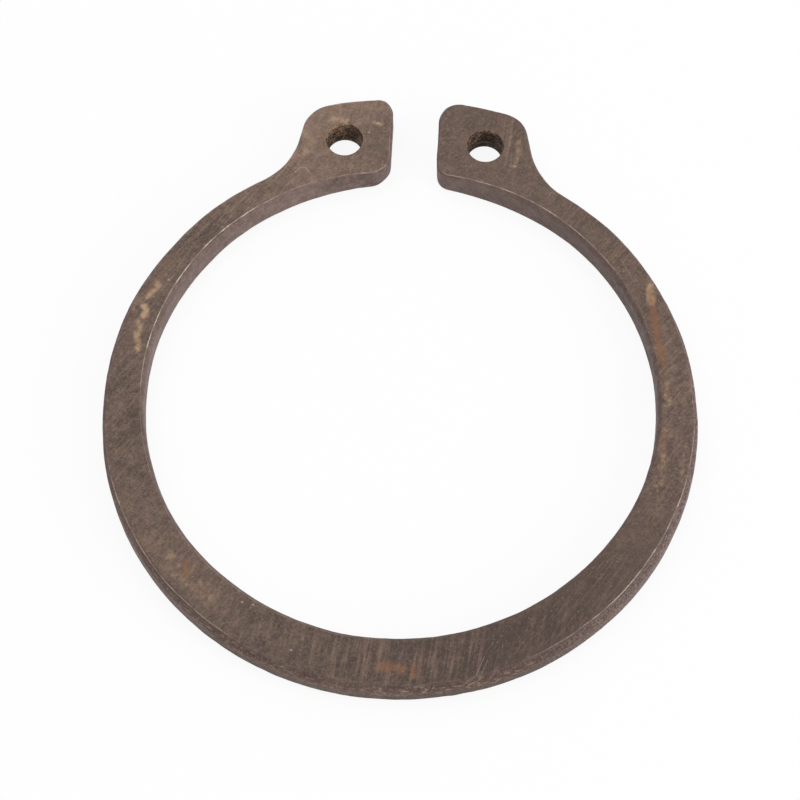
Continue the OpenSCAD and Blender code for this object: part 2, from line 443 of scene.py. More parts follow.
# %% Merge the grids into one skin
def weld(grids):
    """One list of points and one of quads: the points of all grids are rounded to a ten-thousandth of a
    millimetre, equal ones become one, and quads that lost a side to that are left out."""
    points = np.concatenate([g.reshape(-1, 3) for g, _, _ in grids])
    quads, finish, first = [], [], 0
    for grid, kind, flipped in grids:
        rows, cols = grid.shape[:2]
        index = first + np.arange(rows * cols).reshape(rows, cols)
        corners = [index[:-1, :-1], index[1:, :-1], index[1:, 1:], index[:-1, 1:]]
        quad = np.stack(corners, axis=-1).reshape(-1, 4)
        quads.append(quad[:, ::-1] if flipped else quad)
        finish.append(np.full(len(quad), kind))
        first += rows * cols
    _, keep, new = np.unique(np.round(points, 4), axis=0, return_index=True, return_inverse=True)
    quads = new.reshape(-1)[np.concatenate(quads)]
    whole = np.all(np.diff(np.sort(quads, axis=1), axis=1) > 0, axis=1)
    return points[keep], quads[whole], np.concatenate(finish)[whole]


skin, quads, finish = weld(patches)
edges = np.sort(np.stack([quads, np.roll(quads, -1, axis=1)], axis=-1).reshape(-1, 2), axis=1)
_, shared = np.unique(edges, axis=0, return_counts=True)
print("points", len(skin), "quads", len(quads), "edges not shared by two quads:", int(np.sum(shared != 2)))

# %% [markdown]
# Wear in the shape
# No wall of the real ring is quite even. The sheared walls are mottled, the ground faces waver by a few
# hundredths of a millimetre, the arrises carry small chips, and one nick is cut into the outer edge at
# the right. A Displace modifier could do it with a texture. Here it is a movement of the points along
# their normals, worked out from noise, so that it can depend on the wall and on the arris.

# %% Move the skin along its normals
WAVE_SIZE, WAVE_DEPTH, WAVE_ON_FACE = 5.0, 0.035, 0.3
MOTTLE_SIZE, MOTTLE_DEPTH = 0.9, 0.03
ROUGH_SIZE, ROUGH_DEPTH = 0.35, 0.016
CHIP_SIZE, CHIP_DEPTH, CHIP_REACH, CHIP_NOISE = 0.6, 0.05, 0.16, (0.62, 0.85)
NICK, NICK_DEPTH, NICK_REACH = np.array([27.25, 2.2, 1.4]), 0.14, 0.3
WALL_DEPTHS = (0.01, 0.3)  # Depths below a face between which a point comes to count as wall
BLOCK = 4000


def point_normals(points, quads):
    """Sum, for every point, of the cross products of the diagonals of the quads round it, made unit."""
    across = np.cross(points[quads[:, 2]] - points[quads[:, 0]], points[quads[:, 3]] - points[quads[:, 1]])
    total = np.zeros_like(points)
    for corner in range(4):
        np.add.at(total, quads[:, corner], across)
    return total / np.linalg.norm(total, axis=1)[:, None]


def nearest(points, targets):
    """Distance from each point to the nearest of the targets, and which one that is, block by block."""
    points, targets = points.astype(np.float32), targets.astype(np.float32)
    far, which = np.empty(len(points)), np.empty(len(points), int)
    for i in range(0, len(points), BLOCK):
        gap = np.linalg.norm(points[i:i + BLOCK, None] - targets[None], axis=2)
        which[i:i + BLOCK] = gap.argmin(axis=1)
        far[i:i + BLOCK] = gap.min(axis=1)
    return far, which


arris = np.concatenate([right_band[0], outer_band[0], left_band[0], inner_band[0]])
arris_far, arris_which = nearest(skin, arris)
on_wall = smooth_step(THICK / 2 - np.abs(skin[:, 2]), *WALL_DEPTHS)
wave = ring_noise(skin, WAVE_SIZE, seed=13) - 0.5
mottle = ring_noise(skin, MOTTLE_SIZE, seed=11) - 0.5
rough = ring_noise(skin, ROUGH_SIZE, seed=12) - 0.5
chips = smooth_step(ring_noise(skin, CHIP_SIZE, seed=14), *CHIP_NOISE)
chips *= np.exp(-(arris_far / CHIP_REACH) ** 2)
nick = np.exp(-(np.linalg.norm(skin - NICK, axis=1) / NICK_REACH) ** 2)
move = WAVE_DEPTH * wave * (WAVE_ON_FACE + on_wall) + MOTTLE_DEPTH * mottle * on_wall
move += ROUGH_DEPTH * rough * on_wall - CHIP_DEPTH * chips - NICK_DEPTH * nick
worn_skin = skin + point_normals(skin, quads) * move[:, None]
print("moved by", round(float(move.min()), 3), "to", round(float(move.max()), 3), "mm")

# %% [markdown]
# Making the mesh
# The arrays go into the mesh in one step. Two walls that meet at a crisp angle keep a sharp shading line.
# Splitting the mesh there would look the same, but the skin would no longer be closed.

# %% The ring as a mesh
CRISP_DEG = 28


def link(name, data):
    """A new object in the scene that shows this mesh, camera or lamp."""
    piece = bpy.data.objects.new(name, data)
    bpy.context.scene.collection.objects.link(piece)
    return piece


mesh = bpy.data.meshes.new("ring_skin")
mesh.from_pydata(worn_skin * MM, [], quads)
mesh.polygons.foreach_set("use_smooth", np.ones(len(quads), bool))
mesh.polygons.foreach_set("material_index", finish.astype(np.int32))
mesh.set_sharp_from_angle(angle=np.radians(CRISP_DEG))
ring = link("ring_skin", mesh)
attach(ring, BODY)
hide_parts(NODE)


def keep_on_points(name, values):
    """Stores one number for every point, under a name that a material can read."""
    mesh.attributes.new(name, "FLOAT", "POINT").data.foreach_set("value", values.astype(np.float32))


keep_on_points("arris", arris_far)
print("mesh:", len(mesh.vertices), "points and", len(mesh.polygons), "faces")

# %% [markdown]
# Where the marks are
# The stains, rubbed places and scratches of the photographed ring are listed one by one, as the half width,
# the strength and the corners of a line on the upper face in millimetres. Each becomes a soft band, and the
# materials break it up with noise, so that no mark ends in a smooth edge. A mark could also be painted by
# hand, but a list keeps its place and size easy to check.

# %% Marks on the upper face
TAN_MARKS = [
    (0.36, 1.05, [(-23.4, 10.4), (-24.3, 9.0)]), (0.2, 0.75, [(-23.6, 9.9), (-23.9, 9.1)]),
    (0.36, 1.3, [(-24.55, 8.0), (-24.35, 7.5), (-24.5, 6.9)]), (0.3, 0.85, [(-24.9, 6.3), (-24.75, 5.4)]),
    (0.42, 0.85, [(-25.0, 5.1), (-24.9, 4.3), (-24.7, 3.3)]), (0.4, 0.4, [(-25.2, 8.3), (-25.4, 7.6)]),
    (1.2, 0.2, [(-23.2, 11.0), (-25.0, 6.0), (-25.2, 1.6)]), (0.4, 0.5, [(24.7, 2.8), (24.8, 0.4)]),
    (0.4, 0.4, [(24.6, -2.4), (24.4, -5.2), (24.1, -8.0)]), (0.9, 0.25, [(24.6, -3.0), (23.7, -10.4)]),
    (0.4, 0.95, [(23.0, 12.6), (23.2, 10.9)]),
    (1.4, 0.3, [(-21.6, -15.4), (-18.6, -19.0), (-15.8, -21.2)]),
    (1.0, 0.2, [(-15.0, -22.0), (-9.5, -25.0)]), (0.4, 0.45, [(-19.9, -16.6), (-18.8, -18.4)]),
    (0.35, 0.45, [(-16.9, -19.6), (-15.8, -21.0)]),
    (0.5, 0.6, [(-11.0, 28.0), (-9.9, 26.7), (-10.6, 25.6)]), (0.9, 0.4, [(-13.6, 23.6), (-11.6, 25.6)]),
    (0.35, 0.75, [(-8.4, 29.5), (-6.8, 29.4)]), (0.25, 0.7, [(-4.1, 29.4), (-3.4, 29.1)]),
    (1.5, 0.3, [(-9.6, 30.6), (-4.0, 31.4)]), (0.33, 0.55, [(10.0, 28.4), (10.15, 26.2), (9.6, 25.2)]),
    (0.5, 0.25, [(8.9, 30.0), (9.3, 27.6)]), (0.4, 0.3, [(13.0, 24.8), (14.2, 23.6)]),
    (0.4, 0.25, [(-0.8, -27.0), (3.0, -27.4)]), (0.3, 0.4, [(26.4, -3.6), (26.0, -8.0)]),
]
RUST_MARKS = [
    (0.4, 0.9, [(23.0, 12.2), (23.2, 10.9)]), (0.45, 1.15, [(23.3, 10.2), (23.7, 7.6), (24.3, 4.8)]),
    (0.3, 0.6, [(24.3, 4.8), (24.8, 1.0)]), (0.5, 0.55, [(24.6, -2.2), (24.4, -5.6)]),
    (0.44, 1.2, [(-0.4, -26.7), (1.6, -26.8)]), (0.3, 1.1, [(2.7, -26.4), (2.6, -27.6)]),
    (0.8, 0.3, [(-0.5, -26.4), (3.0, -26.7)]), (0.2, 0.55, [(3.3, -27.7), (3.4, -26.2)]),
    (0.25, 0.5, [(6.6, -24.4), (7.4, -24.9)]), (0.28, 1.35, [(-18.3, -17.8), (-18.2, -19.0)]),
    (0.3, 0.75, [(-16.7, -20.2), (-16.3, -20.6)]), (0.6, 0.5, [(-23.3, 11.4), (-24.3, 9.2)]),
    (0.35, 0.4, [(-25.6, 6.8), (-25.8, 5.6)]), (0.3, 0.6, [(-24.9, -6.5), (-25.1, -7.2)]),
    (0.25, 0.55, [(-23.0, -14.2), (-22.8, -15.4), (-22.2, -17.0), (-21.8, -17.4)]),
    (0.35, 0.6, [(-8.9, 27.9), (-8.9, 26.6), (-8.2, 25.6)]), (0.4, 0.5, [(5.0, 28.3), (4.9, 27.0)]),
    (0.3, 0.5, [(-2.7, 30.0), (-2.6, 28.6)]), (0.5, 0.4, [(-12.8, 24.2), (-11.6, 25.2)]),
]
SMUDGES = [
    (0.9, 0.9, [(5.6, 30.2), (7.4, 30.0)]), (0.7, 0.5, [(-10.0, 29.6), (-8.0, 30.4)]),
    (0.6, 0.6, [(22.0, 12.4), (22.6, 9.4)]), (0.5, 0.45, [(25.0, 8.0), (25.7, 4.0)]),
    (1.0, 0.5, [(-22.6, -10.0), (-24.0, -4.0)]), (0.8, 0.6, [(20.2, -16.2), (18.0, -18.6)]),
    (0.5, 0.6, [(14.6, -20.6), (16.0, -22.0)]), (0.9, 0.4, [(-3.4, 26.2), (-3.6, 29.6)]),
    (0.6, 0.5, [(-23.0, 9.2), (-23.6, 6.6)]), (0.7, 0.4, [(24.9, -1.2), (25.8, -2.0)]),
]
GRIND_MARKS = [
    (2.6, 1.0, [(-5.0, -26.3), (8.5, -25.9)]), (2.4, 0.55, [(-12.0, -24.0), (15.5, -22.2)]),
    (1.6, 0.8, [(9.2, 30.0), (9.6, 26.4)]), (2.4, 0.6, [(-6.8, 30.6), (-6.8, 24.4)]),
]
HATCH_MARKS = [
    (2.4, 0.95, [(-12.6, 24.0), (-17.2, 19.6), (-20.0, 16.2)]), (2.2, 0.5, [(-21.4, 14.4), (-24.6, 6.0)]),
    (2.0, 0.4, [(14.5, 22.5), (20.5, 16.0)]), (2.2, 0.4, [(20.0, -16.6), (13.0, -22.6)]),
    (2.2, 0.4, [(-23.6, -9.0), (-18.0, -19.0)]), (2.2, 0.5, [(-25.2, 4.0), (-25.4, -6.0)]),
    (1.8, 0.55, [(23.8, 9.0), (25.4, 0.0), (24.8, -8.0)]),
]
SCRATCHES = [
    (0.05, 0.5, [(-11.5, 23.3), (-10.9, 23.9), (-10.4, 23.9), (-9.9, 23.3)]),
    (0.05, 0.4, [(8.1, -27.2), (8.8, -25.3)]), (0.04, 0.35, [(8.5, -27.2), (9.1, -25.6)]),
    (0.08, 1.0, [(-13.05, -21.3), (-12.95, -21.3)]), (0.07, 1.0, [(-12.05, -21.5), (-11.95, -21.5)]),
    (0.08, 1.0, [(-8.35, -25.6), (-8.25, -25.6)]), (0.1, 0.9, [(-3.75, 29.3), (-3.65, 29.3)]),
    (0.09, 0.9, [(9.75, 25.1), (9.85, 25.1)]), (0.09, 0.8, [(-4.6, 28.2), (-4.5, 28.2)]),
    (0.05, 0.35, [(-14.2, 21.9), (-12.8, 23.6)]), (0.05, 0.25, [(21.2, 13.6), (20.2, 15.4)]),
    (0.1, 0.7, [(-22.55, 10.9), (-22.45, 10.9)]), (0.12, 0.8, [(27.0, 2.0), (27.1, 2.4)]),
    (0.08, 0.6, [(24.5, 1.3), (24.6, 1.3)]), (0.07, 0.5, [(24.9, 0.7), (24.95, 0.65)]),
    (0.07, 0.5, [(24.5, 0.2), (24.6, 0.1)]),
]
MARKED_HEIGHTS = (0.6, 1.2)  # Heights between which the marks fade in towards the upper face


def soft_bands(points, marks):
    """The largest of strength x exp(-(d / half width)^2) over the marks, where d is a point's flat distance
    to the line through the mark's corners; only the upper face counts."""
    total = np.zeros(len(points))
    for width, strength, corners in marks:
        corners = np.array(corners)
        close = np.full(len(points), np.inf)
        for a, b in zip(corners[:-1], corners[1:]):
            t = np.clip((points[:, :2] - a) @ (b - a) / ((b - a) @ (b - a)), 0, 1)
            close = np.minimum(close, np.linalg.norm(points[:, :2] - a - t[:, None] * (b - a), axis=1))
        total = np.maximum(total, strength * np.exp(-(close / width) ** 2))
    return total * smooth_step(points[:, 2], *MARKED_HEIGHTS)


MARKS = {
    "tan": TAN_MARKS, "rust": RUST_MARKS, "smudge": SMUDGES, "grind": GRIND_MARKS, "hatch": HATCH_MARKS,
}
for name, marks in MARKS.items():
    keep_on_points(name, soft_bands(skin, marks))
    print(name, "marks:", len(marks))

# %% [markdown]
# Tone round the ring, with painted sheen and painted light
# The face is lighter on the left and the right and darkest at the lower right. Part of that is the
# browning's own tone and part is a painted sheen, as a gloss from the back left would give it. The walls
# differ too: inside they are smooth where the punch has burnished them, and outside they are gritty. Their
# tone by heading is painted light and shade, lighter mostly where a wall faces the right. Each of these is a
# table of headings and strengths, as the strays are.

# %% Tone and grit by heading
# Partly painted sheen: lighter towards the back left and darkest at the lower right, as a gloss from there
# would make it.
PATINA_AND_SHEEN = [
    (-270, 0.5), (-262, 0.65), (-250, 0.95), (-240, 0.84), (-230, 0.74), (-222, 0.48), (-205, 0.58),
    (-190, 0.52), (-172, 0.42), (-145, 0.56), (-128, 0.54), (-112, 0.33), (-98, 0.4), (-82, 0.26),
    (-68, 0.18), (-52, 0.22), (-38, 0.28), (-22, 0.46), (-8, 0.6), (20, 0.58), (38, 0.5), (60, 0.52),
    (78, 0.5), (90, 0.5),
]
# Painted light and shade on the inner wall: lighter on the left, where it faces the right, and towards the
# top; darker at the right, where it faces left.
INNER_WALL_PAINTED_LIGHT = [
    (-270, 0.1), (-258, -0.1), (-250, -0.12), (-240, 0.2), (-225, 0.3), (-170, 0.3), (0, -0.15),
    (17, -0.12), (31, 0.05), (45, 0.14), (59, 0.26), (90, 0.26),
]
MOTTLED = [
    (-270, 0.9), (-258, 1.5), (-240, 1.3), (-200, 1.15), (-120, 1.05), (-75, 0.75), (-60, 0.5),
    (-35, 0.5), (-15, 1.3), (30, 1.25), (45, 0.8), (75, 0.95), (90, 1.0),
]
# Painted light on the outer wall: lighter at the front and most at the lower right, which faces the right.
OUTER_WALL_PAINTED_LIGHT = [
    (-120, 0.0), (-105, 0.15), (-90, 0.1), (-75, 0.0), (-60, 0.0), (-46, 0.26), (-33, 0.2), (-18, 0.0),
]
BROWNED = [
    (-200, 0.6), (-145, 0.7), (-115, 1.0), (-65, 1.0), (-50, 0.5), (-40, 0.25), (-10, 0.15),
]
GRIT = [
    (-200, 0.35), (-120, 0.3), (-70, 0.3), (-55, 0.7), (-20, 0.85), (40, 0.5),
]
FLECKED = [
    (-160, 0.0), (-140, 0.5), (-115, 1.0), (-72, 1.0), (-60, 0.2), (-45, 0.0),
]
LEFT_LUG_END_LIGHTER, LUG_END_RADII = 0.22, (28.5, 30.5)
FLECKED_HEIGHTS = (-0.6, 0.4)
LIP_START, LIP_END = (-150, -142), (-131, -125)
OUTSIDE_R = INNER_R + 1.2

turn = headings(skin)
radius = np.hypot(skin[:, 0], skin[:, 1])
outside = radius > OUTSIDE_R
outer_wall, inner_wall = on_wall * outside, on_wall * (1 - outside)
lug_end = smooth_step(radius, *LUG_END_RADII) * (skin[:, 0] < 0)
lip = smooth_step(turn, *LIP_START) * (1 - smooth_step(turn, *LIP_END))
# One number on the points for the browning's tone together with the painted sheen and the painted light on
# the walls.
patina_and_light = by_heading(turn, PATINA_AND_SHEEN) + LEFT_LUG_END_LIGHTER * lug_end
patina_and_light += by_heading(turn, INNER_WALL_PAINTED_LIGHT) * inner_wall + by_heading(turn, OUTER_WALL_PAINTED_LIGHT) * outer_wall
keep_on_points("patina_and_light", patina_and_light)
keep_on_points("mottled", by_heading(turn, MOTTLED))
keep_on_points("browned", by_heading(turn, BROWNED) * outer_wall)
keep_on_points("grit", by_heading(turn, GRIT) * outer_wall)
keep_on_points("flecked", by_heading(turn, FLECKED) * outer_wall * smooth_step(skin[:, 2], *FLECKED_HEIGHTS))
keep_on_points("lip", lip * outside * (skin[:, 2] > 0))
print("patina from", round(float(patina_and_light.min()), 2), "to", round(float(patina_and_light.max()), 2))

# %% [markdown]
# Where the arris is bright
# The upper arris shines in stretches: most of all along the far side of the opening and round the lower
# right of the outer edge. The shine is partly bare metal where the browning is rubbed off and partly a
# painted highlight of the worn edge. The stretches are given in degrees round the ring, and a slow noise
# makes them come and go. Brightening every edge would look like a toy's painted wear. The real one is
# rubbed only where it touched something.

# %% Shine along the arris
# Shine of the upper arris by heading: partly bare metal, partly a painted highlight.
OUTER_SHINE = [
    (-270, 0.3), (-240, 0.1), (-165, 0.1), (-156, 0.45), (-150, 0.5), (-125, 0.35), (-112, 0.05),
    (-66, 0.05), (-52, 0.4), (-40, 0.6), (-22, 0.6), (-12, 0.35), (5, 0.25), (20, 0.05),
]
INNER_SHINE = [
    (-264, 0.5), (-255, 0.4), (-250, 0.2), (-236, 0.35), (-229, 0.85), (-200, 1.0), (-190, 0.85), (-184, 0.4),
    (-175, 0.2), (-90, 0.2), (-89.9, 0.026), (0, 0.0), (30, 0.1), (42, 0.5), (54, 0.75), (61, 0.75),
    (72, 0.6), (80, 0.45), (84, 0.25),
]
BREAK_SIZE, BREAK_NOISE = 0.8, (0.3, 0.75)
LEAST_SHINE, SHINE_SWING = 0.45, 0.8
OUTER_ARRIS_R = INNER_R + 1.0

arris_turn = headings(arris)
arris_outside = np.hypot(arris[:, 0], arris[:, 1]) > OUTER_ARRIS_R
shine = np.where(arris_outside, by_heading(arris_turn, OUTER_SHINE), by_heading(arris_turn, INNER_SHINE))
broken = smooth_step(ring_noise(arris, BREAK_SIZE, seed=21), *BREAK_NOISE)
shine *= LEAST_SHINE + SHINE_SWING * broken
keep_on_points("shine", shine[arris_which] * (skin[:, 2] > 0))
print("brightest stretch:", round(float(shine.max()), 2))

# %% [markdown]
# Node groups
# Every finish of this ring needs the same few effects, so each effect is a group that is built once and
# put into each material with its own values. They could be copied into every material, but then each
# change would have to be made three times. A group gives out only masks and tones, never a shader.

# %% Helpers for nodes
def feed(tree, node, inputs):
    """Fills a node's inputs; each is named or numbered and gets a number, a colour or a link."""
    for socket, value in dict(inputs).items():
        if isinstance(value, bpy.types.NodeSocket):
            tree.links.new(value, node.inputs[socket])
        else:
            node.inputs[socket].default_value = value
    return node


def put(tree, kind, inputs=(), **settings):
    """A node of one kind with its settings and its inputs."""
    node = tree.nodes.new("ShaderNode" + kind)
    for key, value in settings.items():
        setattr(node, key, value)
    return feed(tree, node, inputs)


def math_node(tree, operation, a, b=0.0, c=0.0, clamp=False):
    """The output of one Math node."""
    return put(tree, "Math", {0: a, 1: b, 2: c}, operation=operation, use_clamp=clamp).outputs[0]


def vector_node(tree, operation, a, b, output="Vector"):
    """An output of one Vector Math node."""
    return put(tree, "VectorMath", {0: a, 1: b}, operation=operation).outputs[output]


def resized(tree, vector, factor):
    """A vector times a number."""
    return put(tree, "VectorMath", {0: vector, "Scale": factor}, operation="SCALE").outputs[0]


def scaled(tree, value, factor):
    """A number times a factor."""
    return math_node(tree, "MULTIPLY", value, factor)


def soft_range(tree, value, low, high, to_low=0.0, to_high=1.0):
    """A number carried smoothly from low and high to to_low and to_high, and held at its ends."""
    ends = {"Value": value, "From Min": low, "From Max": high, "To Min": to_low, "To Max": to_high}
    return put(tree, "MapRange", ends, interpolation_type="SMOOTHSTEP").outputs["Result"]


def noise(tree, place, scale, detail, roughness):
    """The value of a Noise Texture; a larger scale makes it finer."""
    look = {"Vector": place, "Scale": scale, "Detail": detail, "Roughness": roughness}
    return put(tree, "TexNoise", look).outputs["Fac"]


def new_group(name, **inputs):
    """A shader group and what it is given: an input for each name, a vector where the value is None and
    otherwise a number with that usual value."""
    group = bpy.data.node_groups.new(name, "ShaderNodeTree")
    for label, value in inputs.items():
        kind = "NodeSocketVector" if value is None else "NodeSocketFloat"
        socket = group.interface.new_socket(label, in_out="INPUT", socket_type=kind)
        if value is not None:
            socket.default_value = value
    return group, group.nodes.new("NodeGroupInput").outputs


def give_out(group, **results):
    """Gives the group a number output for each result."""
    for label in results:
        group.interface.new_socket(label, in_out="OUTPUT", socket_type="NodeSocketFloat")
    feed(group, group.nodes.new("NodeGroupOutput"), results)
    print("group:", group.name, "gives", ", ".join(results))


# %% [markdown]
# Mottling
# The browning is never one even tone: it has clouds some millimetres wide, patches inside them, and a
# grain like fine sandpaper. One noise with many octaves would tie the three together, so each is a noise
# of its own, and a finish can weigh them as it likes.

# %% Group: mottled tone and grain
CLOUD_TO_PATCH = 2.6
mottle_group, given = new_group("mottled_tone", Vector=None, Coarse=1.6, Fine=0.25)


def spots(place, size, detail, roughness, low, high):
    """Noise with spots of about the given size, with its values from low to high spread over 0 to 1."""
    scale = math_node(mottle_group, "DIVIDE", 1.0, size)
    return soft_range(mottle_group, noise(mottle_group, place, scale, detail, roughness), low, high)


place = given["Vector"]
cloud_size = scaled(mottle_group, given["Coarse"], CLOUD_TO_PATCH)
give_out(
    mottle_group,
    Cloud=spots(place, cloud_size, detail=4.0, roughness=0.6, low=0.3, high=0.7),
    Patch=spots(place, given["Coarse"], detail=5.0, roughness=0.65, low=0.38, high=0.76),
    Grain=spots(place, given["Fine"], detail=1.5, roughness=0.6, low=0.36, high=0.76),
)

# %% [markdown]
# The bright arris
# Handling rubs the browning off the sharpest line first, in a thread that swells, thins and breaks off,
# and the same thread also carries a painted highlight of the edge.
# Geometry's Pointiness would find edges too, but it depends on the mesh and the export loses it. Here the
# distance to the arris, kept on the points, is compared with a width that a noise makes flutter.

# %% Group: arris band
arris_group, given = new_group("arris_band", Vector=None, Distance=1.0, Shine=0.5, Width=0.09)
flutter = noise(arris_group, given["Vector"], scale=2.2, detail=3.0, roughness=0.7)
flutter = soft_range(arris_group, flutter, low=0.3, high=0.7, to_low=0.55, to_high=1.5)
reach = math_node(arris_group, "MULTIPLY", given["Width"], flutter)
far = math_node(arris_group, "DIVIDE", given["Distance"], reach)
near = soft_range(arris_group, math_node(arris_group, "SUBTRACT", 1.0, far, clamp=True), low=0.0, high=0.8)
give_out(arris_group, Mask=math_node(arris_group, "MULTIPLY", near, given["Shine"], clamp=True))

# %% [markdown]
# Stains, grinding lines, flecks and scratches
# A stain is a soft band on the points whose edge a noise makes ragged. Grinding leaves fine parallel
# lines, which are noise stretched along one direction. The sheared wall is flecked with lighter spots
# that are wider than they are high. A scratch is a thin straight line, found by its distance from the
# nearest point between its two ends. Pictures could hold all four, but these stay sharp at any distance.

# %% Group: broken-up stain
RAGGED = 2.6
stain_group, given = new_group("broken_stain", Vector=None, Amount=0.0, Size=0.5)
stain_scale = math_node(stain_group, "DIVIDE", 1.0, given["Size"])
ragged = noise(stain_group, given["Vector"], stain_scale, detail=6.0, roughness=0.72)
ragged = math_node(stain_group, "MULTIPLY_ADD", ragged, RAGGED, -RAGGED / 2)
inside = soft_range(stain_group, math_node(stain_group, "ADD", given["Amount"], ragged), low=0.1, high=1.35)
allowed = soft_range(stain_group, given["Amount"], low=0.02, high=0.35)
give_out(stain_group, Mask=math_node(stain_group, "MULTIPLY", inside, allowed))

# %% Group: grinding lines
lines_group, given = new_group("grind_lines", Vector=None, Turn=0.0, Spacing=0.22, Length=4.0)
turned = put(lines_group, "VectorRotate", {"Vector": given["Vector"], "Angle": given["Turn"]},
             rotation_type="Z_AXIS")
parts = put(lines_group, "SeparateXYZ", {0: turned.outputs[0]}).outputs
stretched = put(lines_group, "CombineXYZ", {
    0: math_node(lines_group, "DIVIDE", parts[0], given["Spacing"]),
    1: math_node(lines_group, "DIVIDE", parts[1], given["Length"]),
    2: parts[2],
}).outputs[0]
streaks = noise(lines_group, stretched, scale=1.0, detail=2.5, roughness=0.65)
give_out(lines_group, Lines=soft_range(lines_group, streaks, low=0.42, high=0.78, to_low=-0.35, to_high=1.3))

# %% Group: light flecks on a wall
fleck_group, given = new_group("wall_flecks", Vector=None, Amount=0.0, Flatness=3.0)
squash = put(fleck_group, "CombineXYZ", {0: 1.0, 1: 1.0, 2: given["Flatness"]}).outputs[0]
squashed = vector_node(fleck_group, "MULTIPLY", given["Vector"], squash)
scatter = noise(fleck_group, squashed, scale=1.5, detail=4.0, roughness=0.65)
scatter = soft_range(fleck_group, scatter, low=0.52, high=0.66)
give_out(fleck_group, Mask=math_node(fleck_group, "MULTIPLY", scatter, given["Amount"]))

# %% Group: one scratch
scratch_group, given = new_group("one_scratch", Vector=None, Start=None, Along=None, Reach=None, Width=0.05)
flat = vector_node(scratch_group, "MULTIPLY", given["Vector"], (1, 1, 0))
from_start = vector_node(scratch_group, "SUBTRACT", flat, given["Start"])
share = vector_node(scratch_group, "DOT_PRODUCT", from_start, given["Along"], "Value")
foot = resized(scratch_group, given["Reach"], math_node(scratch_group, "ADD", share, 0.0, clamp=True))
away = vector_node(scratch_group, "DISTANCE", from_start, foot, "Value")
away = math_node(scratch_group, "DIVIDE", away, given["Width"])
give_out(scratch_group, Mask=math_node(scratch_group, "SUBTRACT", 1.0, away, clamp=True))

# %% [markdown]
# The finishes
# Browned steel is a thin dark oxide with a little oil in it: dull, slightly glossy, never mirror-like.
# Where it is rubbed through, grey metal shows. One flat brown would look like paint, so each finish runs
# from a dark end to a light end by its tone, with stains, specks and bare metal laid over it. The tone
# also carries painted sheen and painted light and shade, and the bright arris is partly a painted
# highlight. Three finishes share the groups: the ground faces, the sheared walls and the torn walls of the
# holes. The colours are screen colours of 0 to 255, and cloud to grit say how much each moves the tone.

# %% Values of the finishes
FINISHES = {
    "ground_face": dict(
        dark=(66, 54, 48), light=(139, 116, 98), fine=0.2, roughness=0.55, bump=0.00003, patina_and_light=0.62,
        cloud=0.13, patch=0.17, grain=0.25, lines=0.3, grit=0.4, plum=1.0, tan=0.85, rust=0.7, shine=1.0,
        scratches=SCRATCHES),
    "sheared_wall": dict(
        dark=(75, 59, 55), light=(139, 117, 108), fine=0.2, roughness=0.55, bump=0.00005, patina_and_light=0.55,
        cloud=0.16, patch=0.26, grain=0.18, lines=0.1, grit=0.95, plum=0.25, tan=0.3, rust=0.4, shine=1.0,
        scratches=[]),
    "torn_hole": dict(
        dark=(44, 33, 27), light=(158, 127, 100), fine=0.16, roughness=0.7, bump=0.00008, patina_and_light=0.54,
        cloud=0.5, patch=0.9, grain=0.7, lines=0.2, grit=0.3, plum=0.3, tan=0.4, rust=0.5, shine=0.2,
        scratches=[]),
}
SPECULAR = 0.25
PATCH_MM = 0.65
UPRIGHT_LINES = dict(Turn=0.12, Spacing=0.3, Length=6.0)
SLANTED_LINES = dict(Turn=0.6, Spacing=0.17, Length=2.2)
LINES_EVERYWHERE = 0.22
MIDDLES = {"Cloud": 0.5, "Patch": 0.34, "Grain": 0.36}
GRIT_MIDDLE = 0.3
HUE_SPOTS = dict(Coarse=0.9, Fine=0.4)
SPECKS = dict(scale=7.0, detail=2.0, roughness=0.7)
STAIN_MM = {"smudge": 0.8, "tan": 0.55, "rust": 0.5}
SMUDGE_SHARE, PALE_SHARE, DARK_SHARE, FLECK_SHARE, LIP_SHARE = 0.3, 0.55, 0.28, 0.8, 0.55
# The last colour is bare metal for the scratches and, along the arris, partly a painted highlight.
COLOURS = {
    "smudge": (66, 54, 47), "tan": (176, 146, 117), "rust": (126, 86, 58), "pale speck": (156, 138, 124),
    "dark speck": (58, 47, 41), "fleck": (160, 142, 128), "lip": (62, 50, 43), "bare steel and highlight": (178, 164, 152),
}
PLUM_TINT = (1.03, 0.92, 1.06, 1)
BROWN_TINT = (0.93, 0.87, 0.81, 1)
LIP_IN, LIP_WIDTH, BRIGHT_WIDTH = 0.13, 0.08, 0.075
SCRATCH_SPREAD, SCRATCH_SHINE = 1.25, 0.8
BARE_METAL, BARE_GLOSS = 0.35, 0.15
DARK_DULLNESS, LIGHT_GLOSS = 0.08, 0.06
LINE_RELIEF, SPECK_RELIEF, BUMP_STRENGTH = 0.5, 0.8, 0.35
print("finishes planned:", ", ".join(FINISHES))


# %% Helpers for the finishes
def object_mm(tree):
    """The place on the piece in millimetres."""
    return resized(tree, put(tree, "TexCoord").outputs["Object"], 1 / MM)


def from_points(tree, name):
    """A number kept on the points."""
    return put(tree, "Attribute", attribute_name=name, attribute_type="GEOMETRY").outputs["Fac"]


def srgb(name_or_colour):
    """A screen colour of 0 to 255, or one of COLOURS by its name, as the linear colour that a shader
    takes: c / 12.92 up to 0.04045 and ((c + 0.055) / 1.055)^2.4 above, for c from 0 to 1."""
    c = np.array(COLOURS.get(name_or_colour, name_or_colour)) / 255
    return tuple(np.where(c <= 0.04045, c / 12.92, ((c + 0.055) / 1.055) ** 2.4)) + (1.0,)


